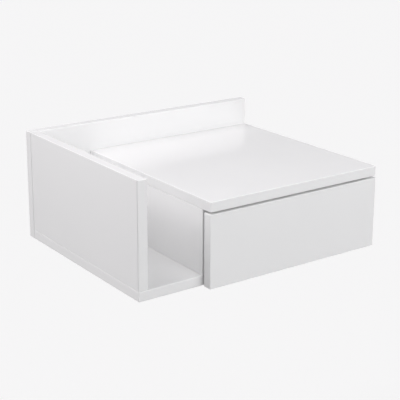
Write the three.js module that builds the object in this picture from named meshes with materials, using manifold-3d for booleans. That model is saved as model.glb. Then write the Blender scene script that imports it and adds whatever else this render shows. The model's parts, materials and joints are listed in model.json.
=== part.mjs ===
// A wall-hung nightstand in white lacquered board: an open niche on the left, one handleless drawer
// on the right, and a back panel that stands up behind the top. All lengths are in millimetres.
// The origin is the centre of the face that lies on the wall. +X runs to the right for someone who
// stands in front, -Y runs out into the room and +Z runs up.
import * as THREE from 'three'
import { RoundedBoxGeometry } from 'three/addons/geometries/RoundedBoxGeometry.js'
import { mergeVertices } from 'three/addons/utils/BufferGeometryUtils.js'
import Module from 'manifold-3d'

const wasm = await Module()
wasm.setup()

// The whole nightstand
const width = 410
const depth = 336
const height = 170
const deckHeight = 126 // from the underside to the upper face of the top panel
const nicheWidth = 88.5 // between the left side panel and the divider

// Boards
const board = 15 // lacquered carcass boards and drawer front
const arris = 1 // rounded edge of a lacquered board
const seam = 0.1 // hairline between two boards that meet
const drawerBoard = 12 // sides and back of the drawer box
const drawerArris = 0.5

// Fits
const clearance = 0.3 // round a piece that sits in a hole, a pocket or a groove
const runningGap = 0.25 // round a piece that slides or rolls
const sunk = 0.2 // how far a countersunk head or a cam lies below the face round it
const overrun = 2 // how far a cutter passes through the face that it opens

// Drawer
const frontGapAbove = 3 // under the top panel
const frontGapBehind = 3.5 // room to press the front in and free the latch
const boxPastSlide = 2.5 // how far the sides of the box run on behind the slides
const boxHeight = 75
const boxLift = 6 // above the base panel
const bottomSheet = 3
const bottomLift = 10 // from the lower edge of the box to the groove of the bottom
const bottomGroove = 5
const backDado = 4 // grooves in the drawer sides that hold the drawer back
const backTail = 8 // how far the drawer sides run on behind the drawer back

// Ball-bearing slides, one each side of the drawer
const slide = {
  step: 50, // slides come in whole steps of length
  overlap: 65, // what the members still share at full reach
  height: 35,
  thickness: 12.7,
  steel: 1.2,
  bend: 2.5, // centreline radius of the folded corners
  setback: 2, // from the front edge of the carcass
  lift: 41, // from the base panel to the middle of the slide
  screwInset: 37, // from either end to the screws
  slotInset: 80, // from either end to the spare slots
  slotWidth: 4.4,
  slotLength: 9,
  stopInset: 2,
  stopWidth: 10,
  stopHeight: 2.6,
}
const ball = {
  radius: 2.2,
  plane: 6, // from the wall of the carcass to the middle of the balls
  perRow: 8,
  pitch: 12.5,
  sides: 8,
  rings: 4,
}
const cage = { steel: 0.8, endMargin: 6, lip: 1.2 }
const lipWrap = 25 // degrees that the outer race runs on past the middle of the ball
const toeWrap = 60 // degrees that the inner race curls up on the far side
const quarterTurn = 90 // degrees

// Screws: a countersunk head lies in its cone, a pan head stands on the face
const longScrew = { head: 5, headHeight: 3, shank: 3.2, length: 50, tip: 3 }
const hangerScrew = { head: 3.6, headHeight: 1.8, shank: 1.75, length: 12, tip: 2 }
const cabinetScrew = { head: 3.6, headHeight: 1.5, shank: 1.9, length: 12, tip: 2 }
const panScrew = { head: 3.6, headHeight: 2, shank: 1.9, length: 10, tip: 2, pan: true }
const latchScrew = { head: 3, headHeight: 1.8, shank: 1.5, length: 11, tip: 2, pan: true }
const tipShare = 0.35 // radius of a screw's tip against its shank
const crownShare = 0.6 // radius of the flat on a pan head against the head
const screwInset = 50 // from the front and back edges of the carcass to its screws and cams
const backScrewInset = 50 // from the ends of a board to the screws in its rear edge

// Cam locks and their bolts
const cam = { radius: 7.5, floor: 2.5, drawerInset: 12 }
const bolt = {
  reach: 24, // from the face of the panel to the middle of the cam
  threadRadius: 3,
  threadLength: 11,
  collarRadius: 3.6,
  collarLength: 2,
  shaftRadius: 2.75,
  shaftEnd: 6, // from the middle of the cam to the end of the shaft
  neckRadius: 1.6,
  headRadius: 3,
  headLength: 3.2,
}

// Keyhole hanger plates, let into the back panel
const hanger = {
  width: 20,
  height: 60,
  steel: 2,
  fromScrew: 25, // from the middle of the plate to the screw of the top panel beside it
  drop: 35, // from the top edge of the back panel to the middle of the plate
  entryRadius: 5,
  slotWidth: 5,
  entryDrop: 8, // from the middle of the plate to the round entry
  slotRise: 7, // from the middle of the plate to the middle of the slot's end
  screwInset: 7, // from either end of the plate to its screws
  pocketWidth: 15,
  pocketHeight: 32,
  pocketDepth: 9, // behind the plate
}

// Push latch, on the base panel behind the drawer
const latch = {
  length: 38,
  width: 16,
  axisHeight: 12,
  floor: 4,
  wingReach: 12,
  wingLength: 14,
  wingSheet: 3,
  exposed: 3.5, // neck of the plunger between the housing and the tip
  behind: 3, // least room between the housing and the back panel
  plungerRadius: 4,
  plungerLength: 18,
  tipRadius: 5,
  tipLength: 4,
  tipRound: 0.8,
}
const spring = { radius: 2.9, wire: 0.45, turns: 6, stepsPerTurn: 8, sides: 5 }
const strike = { width: 14, height: 21, steel: 1.5, pinRadius: 1.5, pinLength: 7, pinInset: 4.5 }

// Facets
const arrisSteps = 1
const screwSides = 10
const camSides = 14
const boreSides = 12
const bendSteps = 3
const raceSteps = 5
const roundSteps = 4
const weld = 1e-4 // corners nearer than this are one corner

// Heights and places that follow from the sizes above
const left = -width / 2
const right = width / 2
const underside = -height / 2
const topEdge = height / 2
const room = -depth // the front face of the drawer and of the top panel
const backFace = -board // the front face of the back panel
const carcassFront = room + board + frontGapBehind
const carcassBack = backFace - seam
const baseTop = underside + board
const deckTop = underside + deckHeight
const deckUnderside = deckTop - board
const dividerLeft = left + board + nicheWidth
const bayLeft = dividerLeft + board // the bay holds the drawer box
const bayRight = right - board
const slideSpace = slide.thickness + 2 * seam
const boxLeft = bayLeft + slideSpace
const boxRight = bayRight - slideSpace
const innerLeft = boxLeft + drawerBoard
const innerRight = boxRight - drawerBoard
const boxBottom = baseTop + boxLift
const boxTop = boxBottom + boxHeight
const frontInside = room + board // the rear face of the drawer front
const boxFront = frontInside + seam
const slideFront = carcassFront + slide.setback
const latchReach = seam + strike.steel + clearance + latch.tipLength + latch.exposed + latch.length
const behindSlide = boxPastSlide - backTail + latchReach + latch.behind
const slideLength = slide.step * Math.floor((carcassBack - slideFront - behindSlide) / slide.step)
const slideRear = slideFront + slideLength
const slideTravel = slideLength - slide.overlap
const boxRear = slideRear + boxPastSlide
const drawerBackRear = boxRear - backTail
const drawerBackFront = drawerBackRear - drawerBoard
const grooveBottom = boxBottom + bottomLift
const grooveTop = grooveBottom + bottomSheet + 2 * clearance
const slideCentre = baseTop + slide.lift

const lacquer = new THREE.MeshStandardMaterial({ color: '#ececee', roughness: 0.35 })
const drawerFoil = new THREE.MeshStandardMaterial({ color: '#e4e4e2', roughness: 0.5 })
const sheetFoil = new THREE.MeshStandardMaterial({ color: '#dcdcd8', roughness: 0.55 })
const zincSteel = new THREE.MeshStandardMaterial({ color: '#b9bcc0', roughness: 0.35, metalness: 1 })
const ballSteel = new THREE.MeshStandardMaterial({ color: '#c9ccd0', roughness: 0.2, metalness: 1 })
const screwSteel = new THREE.MeshStandardMaterial({ color: '#a9abad', roughness: 0.4, metalness: 1 })
const castZinc = new THREE.MeshStandardMaterial({ color: '#9c9ea2', roughness: 0.5, metalness: 1 })
const greyPlastic = new THREE.MeshStandardMaterial({ color: '#c4c6c8', roughness: 0.5 })
const springSteel = new THREE.MeshStandardMaterial({ color: '#8d9094', roughness: 0.3, metalness: 1 })

const toRight = new THREE.Vector3(1, 0, 0)
const toLeft = new THREE.Vector3(-1, 0, 0)
const toWall = new THREE.Vector3(0, 1, 0)
const toRoom = new THREE.Vector3(0, -1, 0)
const up = new THREE.Vector3(0, 0, 1)
const down = new THREE.Vector3(0, 0, -1)

// Solids

function solidOf(geometry) {
  const loose = geometry.index ? geometry.toNonIndexed() : geometry
  const bare = new THREE.BufferGeometry()
  bare.setAttribute('position', loose.getAttribute('position'))
  const merged = mergeVertices(bare, weld)
  const mesh = new wasm.Mesh({
    numProp: merged.attributes.position.itemSize,
    vertProperties: merged.attributes.position.array,
    triVerts: new Uint32Array(merged.index.array),
  })
  return new wasm.Manifold(mesh)
}

function geometryOf(solid) {
  const mesh = solid.getMesh()
  const shared = new THREE.BufferGeometry()
  shared.setAttribute('position', new THREE.BufferAttribute(mesh.vertProperties, mesh.numProp))
  shared.setIndex(new THREE.BufferAttribute(mesh.triVerts, 1))
  const faceted = shared.toNonIndexed()
  faceted.computeVertexNormals()
  return faceted
}

const carve = (blank, cutters) =>
  geometryOf(cutters.reduce((solid, cutter) => solid.subtract(solidOf(cutter)), solidOf(blank)))

const unite = (first, others) =>
  geometryOf(others.reduce((solid, other) => solid.add(solidOf(other)), solidOf(first)))

function named(name, geometry, material) {
  const mesh = new THREE.Mesh(geometry, material)
  mesh.name = name
  return mesh
}

// A place with its own directions: x across, y along, and z square to both.
function spot(x, y, z, across, along) {
  const third = across.clone().cross(along)
  return new THREE.Matrix4().makeBasis(across, along, third).setPosition(x, y, z)
}

function placed(object, place) {
  object.applyMatrix4(place)
  return object
}

// A plain block between three pairs of limits, for cuts and for steps that join a larger piece.
function block(xs, ys, zs) {
  const spans = [xs, ys, zs]
  const size = spans.map(([low, high]) => high - low)
  const middle = spans.map(([low, high]) => (low + high) / 2)
  return new THREE.BoxGeometry(...size).translate(...middle)
}

// A board with rounded edges between three pairs of limits, with holes cut by shapes that are
// already in their places on the nightstand.
function panel(name, material, radius, [xs, ys, zs], cutters = []) {
  const spans = [xs, ys, zs]
  const size = spans.map(([low, high]) => high - low)
  const middle = spans.map(([low, high]) => (low + high) / 2)
  const blank = new RoundedBoxGeometry(...size, arrisSteps, radius)
  const home = middle.map((value) => -value)
  const local = cutters.map((cutter) => cutter.clone().translate(...home))
  const mesh = named(name, local.length ? carve(blank, local) : blank, material)
  mesh.position.set(...middle)
  return mesh
}

// A turned shape: [radius, height] pairs from the lower end on the axis to the upper end.
const turned = (points, sides) =>
  new THREE.LatheGeometry(points.map(([radius, along]) => new THREE.Vector2(radius, along)), sides)

// A round rod along z, from one height to the other.
function rod(radius, from, to, sides) {
  const geometry = new THREE.CylinderGeometry(radius, radius, to - from, sides)
  return geometry.rotateX(Math.PI / 2).translate(0, 0, (from + to) / 2)
}

// An upright shape with parallel sides and round ends.
function oblong(wide, high) {
  const radius = wide / 2
  const straight = high / 2 - radius
  const shape = new THREE.Shape()
  shape.absarc(0, straight, radius, 0, Math.PI)
  shape.absarc(0, -straight, radius, Math.PI, 2 * Math.PI)
  shape.closePath()
  return shape
}

function extruded(shape, length, from = 0, curveSegments = roundSteps) {
  const geometry = new THREE.ExtrudeGeometry(shape, { depth: length, bevelEnabled: false, curveSegments })
  return geometry.translate(0, 0, from)
}

// Screws stand along y, head up, with the face that carries the head at y = 0.

function screwShape(size) {
  const shank = [
    [0, -size.length],
    [size.shank * tipShare, -size.length],
    [size.shank, size.tip - size.length],
  ]
  if (size.pan) {
    const base = seam
    const brim = base + size.headHeight / 2
    const crown = base + size.headHeight
    const head = [
      [size.shank, base],
      [size.head, base],
      [size.head, brim],
      [size.head * crownShare, crown],
      [0, crown],
    ]
    return turned([...shank, ...head], screwSides)
  }
  const head = [
    [size.shank, -sunk - size.headHeight],
    [size.head, -sunk],
    [0, -sunk],
  ]
  return turned([...shank, ...head], screwSides)
}

// The hole for a screw: its own shape with clearance all round, open at the head.
function screwHole(size) {
  const shank = size.shank + clearance
  const foot = -size.length - clearance
  const bore = [
    [0, foot],
    [shank, foot],
  ]
  if (size.pan) return turned([...bore, [shank, overrun], [0, overrun]], screwSides)
  const head = size.head + clearance
  const cone = [
    [shank, -sunk - size.headHeight - clearance],
    [head, -sunk],
    [head, overrun],
    [0, overrun],
  ]
  return turned([...bore, ...cone], screwSides)
}

const screw = (name, size, place) => placed(named(name, screwShape(size), screwSteel), place)
const holeAt = (size) => (place) => screwHole(size).applyMatrix4(place)

// Cam fittings: y runs from the panel that holds the bolt into the board that holds the cam, and x
// points out of the face that the cam is turned from.

function boltShape(grow = 0) {
  const shaftTop = bolt.reach - bolt.shaftEnd
  const headBottom = bolt.reach - bolt.headLength / 2
  const headTop = bolt.reach + bolt.headLength / 2
  const outline = [
    [0, -bolt.threadLength],
    [bolt.threadRadius, -bolt.threadLength],
    [bolt.threadRadius, clearance],
    [bolt.collarRadius, clearance],
    [bolt.collarRadius, bolt.collarLength],
    [bolt.shaftRadius, bolt.collarLength],
    [bolt.shaftRadius, shaftTop + grow],
    [bolt.neckRadius, shaftTop + grow],
    [bolt.neckRadius, headBottom - grow],
    [bolt.headRadius, headBottom - grow],
    [bolt.headRadius, headTop + grow],
  ]
  const grown = outline.map(([radius, along]) => [radius && radius + grow, along])
  return turned([...grown, [0, headTop + grow]], screwSides)
}

// A cam lock for a board of the given thickness, with the hollow that grips the bolt.
function camShape(thickness) {
  const face = thickness / 2 - sunk
  const length = thickness - cam.floor - sunk
  const drum = new THREE.CylinderGeometry(cam.radius, cam.radius, length, camSides)
  drum.rotateZ(-Math.PI / 2).translate(face - length / 2, bolt.reach, 0)
  return carve(drum, [boltShape(clearance)])
}

function camBore(thickness) {
  const floor = cam.floor - clearance - thickness / 2
  const mouth = thickness / 2 + overrun
  const radius = cam.radius + clearance
  const bore = new THREE.CylinderGeometry(radius, radius, mouth - floor, camSides)
  return bore.rotateZ(-Math.PI / 2).translate((mouth + floor) / 2, bolt.reach, 0)
}

function boltBore() {
  const radius = bolt.collarRadius + clearance
  return turned([[0, -overrun], [radius, -overrun], [radius, bolt.reach], [0, bolt.reach]], screwSides)
}

function threadBore() {
  const radius = bolt.threadRadius + clearance
  const foot = -bolt.threadLength - clearance
  return turned([[0, foot], [radius, foot], [radius, overrun], [0, overrun]], screwSides)
}

const camFittings = (name, thickness, place) => [
  placed(named(name + '_cam_bolt', boltShape(), screwSteel), place),
  placed(named(name + '_cam_lock', camShape(thickness), castZinc), place),
]
const camCuts = (thickness, places) =>
  places.flatMap((place) => [
    camBore(thickness).applyMatrix4(place),
    boltBore().applyMatrix4(place),
  ])
const threadCuts = (places) => places.map((place) => threadBore().applyMatrix4(place))

// Places of the fittings, each used by the piece and by every board that it passes through

const ends = { front: carcassFront + screwInset, rear: carcassBack - screwInset }
const uprights = { left: left + board / 2, divider: dividerLeft + board / 2, right: right - board / 2 }

const basePlaces = (x) =>
  Object.values(ends).map((y) => spot(x, y, underside, toRight, down))
const deckPlaces = (x, camSide) =>
  Object.values(ends).map((y) => spot(x, y, deckUnderside, camSide, down))
const wallPlace = (x, z) => spot(x, 0, z, toRight, toWall)

const baseMiddle = underside + board / 2
const deckMiddle = deckTop - board / 2
const backPlaces = {
  base_left: wallPlace(left + backScrewInset, baseMiddle),
  base_right: wallPlace(right - backScrewInset, baseMiddle),
  top_left: wallPlace(dividerLeft + backScrewInset, deckMiddle),
  top_right: wallPlace(right - backScrewInset, deckMiddle),
  side: wallPlace(uprights.left, topEdge - backScrewInset),
}
const dividerCams = deckPlaces(uprights.divider, toRight)
const rightCams = deckPlaces(uprights.right, toLeft)

const frontCamHeight = boxTop - cam.drawerInset
const frontCams = {
  left: spot(boxLeft + drawerBoard / 2, frontInside, frontCamHeight, toLeft, toWall),
  right: spot(boxRight - drawerBoard / 2, frontInside, frontCamHeight, toRight, toWall),
}

// Slides: x runs from the wall of the bay towards the drawer, and z from the rear end to the front.
const slidePlaces = {
  left: spot(bayLeft + seam, slideRear, slideCentre, toRight, up),
  right: spot(bayRight - seam, slideRear, slideCentre, toLeft, down),
}
const slideStations = { rear: slide.screwInset, front: slideLength - slide.screwInset }
const cabinetScrewPlaces = (side) =>
  Object.values(slideStations).map((station) =>
    slidePlaces[side].clone().multiply(spot(slide.steel, 0, station, up, toRight)))
const drawerScrewPlaces = (side) =>
  Object.values(slideStations).map((station) =>
    slidePlaces[side].clone().multiply(spot(slide.thickness - slide.steel, 0, station, up, toLeft)))

const strikeRear = drawerBackRear + seam + strike.steel
const latchTipFace = strikeRear + clearance
const latchFront = latchTipFace + latch.tipLength + latch.exposed
const latchCentre = (boxLeft + boxRight) / 2
const latchHeight = baseTop + seam + latch.axisHeight
const latchPlace = spot(latchCentre, latchFront + latch.length, latchHeight, toRight, up)
const wingHole = latch.width / 2 + latch.wingReach / 2
const latchScrewPlaces = [-1, 1].map((side) =>
  latchPlace.clone().multiply(
    spot(side * wingHole, latch.wingSheet - latch.axisHeight, latch.length / 2, toRight, toWall)))

const strikeBottom = latchHeight - latch.tipRadius
const pinHeight = strikeBottom + strike.height - strike.pinInset
const strikePlace = spot(latchCentre, drawerBackRear + seam, strikeBottom + strike.height / 2, toLeft, up)

const hangerHeight = topEdge - hanger.drop
const hangerX = right - backScrewInset - hanger.fromScrew
const hangerScrewOffset = hanger.height / 2 - hanger.screwInset
const hangerPlaces = {
  left: spot(-hangerX, 0, hangerHeight, toRight, up),
  right: spot(hangerX, 0, hangerHeight, toRight, up),
}
const hangerScrewPlaces = (side) =>
  [1, -1].map((end) =>
    hangerPlaces[side].clone().multiply(spot(0, end * hangerScrewOffset, 0, toRight, down)))

// Carcass

const boardDepth = [carcassFront, carcassBack]
const uprightHeight = [baseTop + seam, deckUnderside - seam]

function basePanel() {
  const cuts = [
    ...Object.values(uprights).flatMap(basePlaces).map(holeAt(longScrew)),
    ...[backPlaces.base_left, backPlaces.base_right].map(holeAt(longScrew)),
    ...latchScrewPlaces.map(holeAt(latchScrew)),
  ]
  return panel('base_panel', lacquer, arris, [[left, right], boardDepth, [underside, baseTop]], cuts)
}

function leftSidePanel() {
  const cuts = [...basePlaces(uprights.left), backPlaces.side].map(holeAt(longScrew))
  const spans = [[left, left + board], boardDepth, [baseTop + seam, topEdge]]
  return panel('left_side_panel', lacquer, arris, spans, cuts)
}

function dividerPanel() {
  const cuts = [
    ...basePlaces(uprights.divider).map(holeAt(longScrew)),
    ...camCuts(board, dividerCams),
    ...cabinetScrewPlaces('left').map(holeAt(cabinetScrew)),
  ]
  const spans = [[dividerLeft, bayLeft], boardDepth, uprightHeight]
  return panel('divider_panel', lacquer, arris, spans, cuts)
}

function rightSidePanel() {
  const cuts = [
    ...basePlaces(uprights.right).map(holeAt(longScrew)),
    ...camCuts(board, rightCams),
    ...cabinetScrewPlaces('right').map(holeAt(cabinetScrew)),
  ]
  const spans = [[bayRight, right], boardDepth, uprightHeight]
  return panel('right_side_panel', lacquer, arris, spans, cuts)
}

function topPanel() {
  const cuts = [
    ...threadCuts([...dividerCams, ...rightCams]),
    ...[backPlaces.top_left, backPlaces.top_right].map(holeAt(longScrew)),
  ]
  const spans = [[dividerLeft, right], [room, carcassBack], [deckUnderside, deckTop]]
  return panel('top_panel', lacquer, arris, spans, cuts)
}

function backPanel() {
  const recess = oblong(hanger.width + 2 * clearance, hanger.height + 2 * clearance)
  const pocket = oblong(hanger.pocketWidth, hanger.pocketHeight)
  const recessDepth = hanger.steel + clearance
  const pocketDepth = recessDepth + hanger.pocketDepth
  const hangerCuts = Object.entries(hangerPlaces).flatMap(([side, place]) => [
    extruded(recess, recessDepth + overrun, -overrun).applyMatrix4(place),
    extruded(pocket, pocketDepth, 0).applyMatrix4(place),
    ...hangerScrewPlaces(side).map(holeAt(hangerScrew)),
  ])
  const cuts = [...Object.values(backPlaces).map(holeAt(longScrew)), ...hangerCuts]
  const spans = [[left, right], [backFace, 0], [underside, topEdge]]
  return panel('back_panel', lacquer, arris, spans, cuts)
}

// Drawer

function drawerSide(side) {
  const onLeft = side === 'left'
  const outer = onLeft ? boxLeft : boxRight
  const inner = onLeft ? innerLeft : innerRight
  const inward = Math.sign(inner - outer)
  const acrossCut = (deep) => [inner - inward * deep, inner + inward * overrun].sort((a, b) => a - b)
  const through = [boxFront - overrun, boxRear + overrun]
  const dado = [drawerBackFront - clearance, drawerBackRear + clearance]
  const cuts = [
    block(acrossCut(bottomGroove), through, [grooveBottom, grooveTop]),
    block(acrossCut(backDado), dado, [boxBottom - overrun, boxTop + overrun]),
    ...camCuts(drawerBoard, [frontCams[side]]),
    ...drawerScrewPlaces(side).map(holeAt(panScrew)),
  ]
  const spans = [[outer, inner].sort((a, b) => a - b), [boxFront, boxRear], [boxBottom, boxTop]]
  return panel('drawer_' + side + '_side', drawerFoil, drawerArris, spans, cuts)
}

const sheetReach = bottomGroove - clearance
const sheetSpan = [innerLeft - sheetReach, innerRight + sheetReach]

function drawerFront() {
  const groove = block(
    [sheetSpan[0] - clearance, sheetSpan[1] + clearance],
    [frontInside - bottomGroove, frontInside + overrun],
    [grooveBottom, grooveTop],
  )
  const cuts = [groove, ...threadCuts(Object.values(frontCams))]
  const spans = [[dividerLeft, right], [room, frontInside], [underside, deckUnderside - frontGapAbove]]
  return panel('drawer_front', lacquer, arris, spans, cuts)
}

function drawerBack() {
  const tongue = backDado - clearance
  const span = [innerLeft - tongue, innerRight + tongue]
  const cuts = [
    block(
      [span[0] - overrun, span[1] + overrun],
      [drawerBackFront - overrun, drawerBackFront + bottomGroove],
      [grooveBottom, grooveTop],
    ),
    rod(strike.pinRadius + clearance, -strike.pinLength - clearance, overrun, screwSides)
      .applyMatrix4(spot(latchCentre, drawerBackRear, pinHeight, toLeft, up)),
  ]
  const spans = [span, [drawerBackFront, drawerBackRear], [boxBottom, boxTop]]
  return panel('drawer_back', drawerFoil, drawerArris, spans, cuts)
}

function drawerBottom() {
  const spans = [
    sheetSpan,
    [frontInside - sheetReach, drawerBackFront + sheetReach],
    [grooveBottom + clearance, grooveTop - clearance],
  ]
  return panel('drawer_bottom', sheetFoil, drawerArris, spans)
}

// Slides

const race = ball.radius + runningGap
const raceLine = race + slide.steel / 2 // from the ball's middle to the middle of the steel
const ballHeight = slide.height / 2 - slide.steel - race

function arc(x, y, radius, from, to, steps) {
  return Array.from({ length: steps + 1 }, (_, i) => {
    const angle = THREE.MathUtils.degToRad(from + ((to - from) * i) / steps)
    return new THREE.Vector2(x + radius * Math.cos(angle), y + radius * Math.sin(angle))
  })
}

// The section of a bent strip, symmetrical above and below the middle, from its upper centreline.
function strip(upper, gauge) {
  const lower = upper.map((point) => new THREE.Vector2(point.x, -point.y)).reverse()
  const path = [...lower, ...upper]
  const normals = path.slice(1).map((point, i) => {
    const run = point.clone().sub(path[i]).normalize()
    return new THREE.Vector2(-run.y, run.x)
  })
  const offset = (distance) =>
    path.map((point, i) => {
      const before = normals[Math.max(i - 1, 0)]
      const after = normals[Math.min(i, normals.length - 1)]
      const mitre = before.clone().add(after).divideScalar(1 + before.dot(after))
      return point.clone().addScaledVector(mitre, distance)
    })
  return new THREE.Shape([...offset(gauge / 2), ...offset(-gauge / 2).reverse()])
}

// The outer member: a flat web on the wall of the bay, with a race round each row of balls.
function cabinetMember(side) {
  const half = slide.steel / 2
  const flange = ballHeight + raceLine
  const section = strip([
    ...arc(half + slide.bend, flange - slide.bend, slide.bend, 2 * quarterTurn, quarterTurn, bendSteps),
    ...arc(ball.plane, ballHeight, raceLine, quarterTurn, -lipWrap, raceSteps),
  ], slide.steel)
  const stopSpan = [-slide.stopWidth / 2, slide.stopWidth / 2]
  const stopAt = (station) =>
    block([slide.steel / 2, slide.steel + slide.stopHeight], stopSpan, [station, station + slide.steel])
  const stops = [stopAt(slide.stopInset), stopAt(slideLength - slide.stopInset - slide.steel)]
  const body = unite(extruded(section, slideLength), stops)
  const stations = Object.values(slideStations)
  const holes = stations.map((station) => holeAt(cabinetScrew)(spot(slide.steel, 0, station, up, toRight)))
  const slots = [slide.slotInset, slideLength - slide.slotInset].map((station) => webSlot(0, station))
  return named(side + '_cabinet_member', carve(body, [...holes, ...slots]), zincSteel)
}

// An upright slot through the web of a slide, whose inner face is at x.
function webSlot(x, station) {
  const shape = oblong(slide.slotWidth, slide.slotLength)
  const cutter = extruded(shape, slide.steel + 2 * overrun, -overrun)
  return cutter.rotateY(Math.PI / 2).translate(x, 0, station)
}

// The inner member: its web lies on the drawer side and its edges run under the balls.
function drawerMember(side) {
  const half = slide.steel / 2
  const flange = ballHeight - raceLine
  const corner = slide.thickness - half - slide.bend
  const section = strip([
    ...arc(corner, flange - slide.bend, slide.bend, 0, quarterTurn, bendSteps),
    ...arc(ball.plane, ballHeight, raceLine, -quarterTurn, -quarterTurn - toeWrap, raceSteps),
  ], slide.steel)
  const stations = Object.values(slideStations)
  const face = slide.thickness - slide.steel
  const holes = stations.map((station) => holeAt(panScrew)(spot(face, 0, station, up, toLeft)))
  const slots = [slide.slotInset, slideLength - slide.slotInset].map((station) => webSlot(face, station))
  const geometry = carve(extruded(section, slideLength), [...holes, ...slots])
  return named(side + '_drawer_member', geometry, zincSteel)
}

// The cage: a light channel between the members that carries both rows of balls.
function ballCage(side) {
  const web = slide.steel + runningGap + cage.steel / 2
  const section = strip([
    new THREE.Vector2(web, ballHeight),
    new THREE.Vector2(ball.plane + cage.lip, ballHeight),
  ], cage.steel)
  const length = (ball.perRow - 1) * ball.pitch + 2 * cage.endMargin
  const frontLimit = slideLength - slide.stopInset - slide.steel - clearance
  const start = frontLimit - slideTravel / 2 - length
  const balls = []
  for (const row of [-1, 1]) {
    for (let i = 0; i < ball.perRow; i++) {
      const station = start + cage.endMargin + i * ball.pitch
      const sphere = new THREE.SphereGeometry(ball.radius, ball.sides, ball.rings)
      balls.push(sphere.translate(ball.plane, row * ballHeight, station))
    }
  }
  return named(side + '_ball_cage', unite(extruded(section, length, start), balls), ballSteel)
}

function slideGroup(side) {
  const group = new THREE.Group()
  group.add(cabinetMember(side), drawerMember(side), ballCage(side))
  return placed(group, slidePlaces[side])
}

// Push latch: z runs along the plunger towards the drawer

function latchHousing() {
  const half = latch.width / 2
  const foot = -latch.axisHeight
  const section = new THREE.Shape()
  section.moveTo(-half, foot)
  section.lineTo(half, foot)
  section.absarc(0, 0, half, 0, Math.PI)
  section.closePath()
  const wingEnd = half + latch.wingReach
  const wingSpan = [(latch.length - latch.wingLength) / 2, (latch.length + latch.wingLength) / 2]
  const wings = block([-wingEnd, wingEnd], [foot, foot + latch.wingSheet], wingSpan)
  const body = unite(extruded(section, latch.length, 0, 2 * roundSteps), [wings])
  const bore = rod(latch.plungerRadius + runningGap, latch.floor, latch.length + overrun, boreSides)
  const holes = [-wingHole, wingHole].map((x) =>
    holeAt(latchScrew)(spot(x, foot + latch.wingSheet, latch.length / 2, toRight, toWall)))
  return named('latch_housing', carve(body, [bore, ...holes]), greyPlastic)
}

function latchPlunger() {
  const rear = latch.length - latch.plungerLength
  const tipRear = latch.length + latch.exposed
  const tipFront = tipRear + latch.tipLength
  const outline = [
    [0, rear],
    [latch.plungerRadius, rear],
    [latch.plungerRadius, tipRear],
    [latch.tipRadius, tipRear],
    [latch.tipRadius, tipFront - latch.tipRound],
    [latch.tipRadius - latch.tipRound, tipFront],
    [0, tipFront],
  ]
  return named('latch_plunger', turned(outline, boreSides).rotateX(Math.PI / 2), greyPlastic)
}

class Coil extends THREE.Curve {
  constructor(radius, from, to, turns) {
    super()
    Object.assign(this, { radius, from, to, turns })
  }

  getPoint(t, target = new THREE.Vector3()) {
    const angle = 2 * Math.PI * this.turns * t
    const along = THREE.MathUtils.lerp(this.from, this.to, t)
    return target.set(this.radius * Math.cos(angle), this.radius * Math.sin(angle), along)
  }
}

function latchSpring() {
  const from = latch.floor + clearance + spring.wire
  const to = latch.length - latch.plungerLength - clearance - spring.wire
  const section = new THREE.Shape(arc(0, 0, spring.wire, 0, 4 * quarterTurn, spring.sides).slice(1))
  const geometry = new THREE.ExtrudeGeometry(section, {
    steps: spring.turns * spring.stepsPerTurn,
    extrudePath: new Coil(spring.radius, from, to, spring.turns),
  })
  return named('latch_spring', geometry, springSteel)
}

function latchGroup() {
  const group = new THREE.Group()
  group.add(latchHousing(), latchPlunger(), latchSpring())
  return placed(group, latchPlace)
}

// The strike plate on the drawer back, with the pin that holds it
function strikePlate() {
  const plate = oblong(strike.width, strike.height)
  const pin = rod(strike.pinRadius, -strike.pinLength, strike.steel / 2, screwSides)
  pin.translate(0, strike.height / 2 - strike.pinInset, 0)
  return placed(named('strike_plate', unite(extruded(plate, strike.steel), [pin]), zincSteel), strikePlace)
}

// Hanger plate: z runs from the wall into the back panel
function hangerPlate(side) {
  const plate = oblong(hanger.width, hanger.height)
  const half = hanger.slotWidth / 2
  const neck = Math.asin(half / hanger.entryRadius)
  const quarter = Math.PI / 2
  const keyhole = new THREE.Path()
  keyhole.absarc(0, -hanger.entryDrop, hanger.entryRadius, quarter + neck, 5 * quarter - neck)
  keyhole.absarc(0, hanger.slotRise, half, 0, Math.PI)
  keyhole.closePath()
  plate.holes.push(keyhole)
  const holes = [1, -1].map((end) =>
    holeAt(hangerScrew)(spot(0, end * hangerScrewOffset, 0, toRight, down)))
  const geometry = carve(extruded(plate, hanger.steel), holes)
  return placed(named(side + '_hanger', geometry, zincSteel), hangerPlaces[side])
}

// The assembled nightstand

const nightstand = new THREE.Group()

const carcass = new THREE.Group()
carcass.add(basePanel(), leftSidePanel(), dividerPanel(), rightSidePanel(), topPanel(), backPanel())
nightstand.add(carcass)

const drawer = new THREE.Group()
drawer.add(drawerFront(), drawerSide('left'), drawerSide('right'), drawerBack(), drawerBottom())
drawer.add(strikePlate())
nightstand.add(drawer)

const sides = ['left', 'right']
const endNames = ['front', 'rear']
const stationNames = Object.keys(slideStations)

nightstand.add(...sides.map(slideGroup), latchGroup(), ...sides.map(hangerPlate))

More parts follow.
